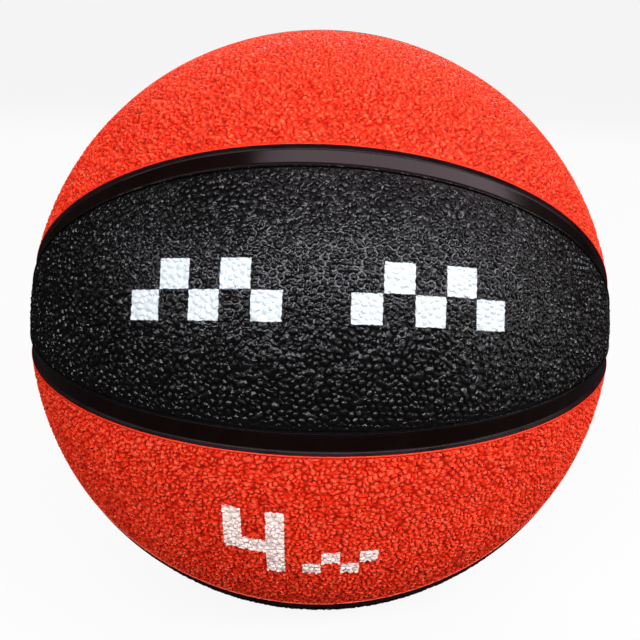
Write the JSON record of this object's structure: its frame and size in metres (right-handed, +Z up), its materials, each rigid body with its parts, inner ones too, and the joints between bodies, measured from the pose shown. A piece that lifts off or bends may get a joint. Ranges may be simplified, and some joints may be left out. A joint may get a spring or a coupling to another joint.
{
  "type": "wall ball",
  "caption": "Heavy round rubber wall ball with pebbled red and black panels running from pole to pole, smooth black channels sunk between them, and a needle valve at one pole.",
  "frame": {"origin": "centre of the ball", "axes": "+X along the pole axis towards the valve, +Z up as the ball lies with a channel at the very bottom"},
  "size_m": [0.2278, 0.2298, 0.2298],
  "materials": {
    "red_rubber": "pebbled satin red",
    "black_rubber": "pebbled satin black",
    "channel_rubber": "smooth satin black",
    "core_rubber": "matt, heavily filled",
    "thread": "wound nylon thread set in rubber",
    "bladder_rubber": "smooth butyl"
  },
  "bodies": {
    "root": {"black_panel_1": "black_rubber", "black_panel_2": "black_rubber", "black_panel_3": "black_rubber", "black_panel_4": "black_rubber", "bladder": "bladder_rubber", "channel_strip_1": "channel_rubber", "channel_strip_2": "channel_rubber", "channel_strip_3": "channel_rubber", "channel_strip_4": "channel_rubber", "channel_strip_5": "channel_rubber", "channel_strip_6": "channel_rubber", "channel_strip_7": "channel_rubber", "channel_strip_8": "channel_rubber", "core_half_plain_side": "core_rubber", "core_half_valve_side": "core_rubber", "pole_cap_plain_side": "channel_rubber", "pole_cap_valve_side": "channel_rubber", "red_panel_1": "red_rubber", "red_panel_2": "red_rubber", "red_panel_3": "red_rubber", "red_panel_4": "red_rubber", "thread_winding": "thread", "valve_housing": "bladder_rubber", "valve_plug": "bladder_rubber"}
  },
  "joints": []
}
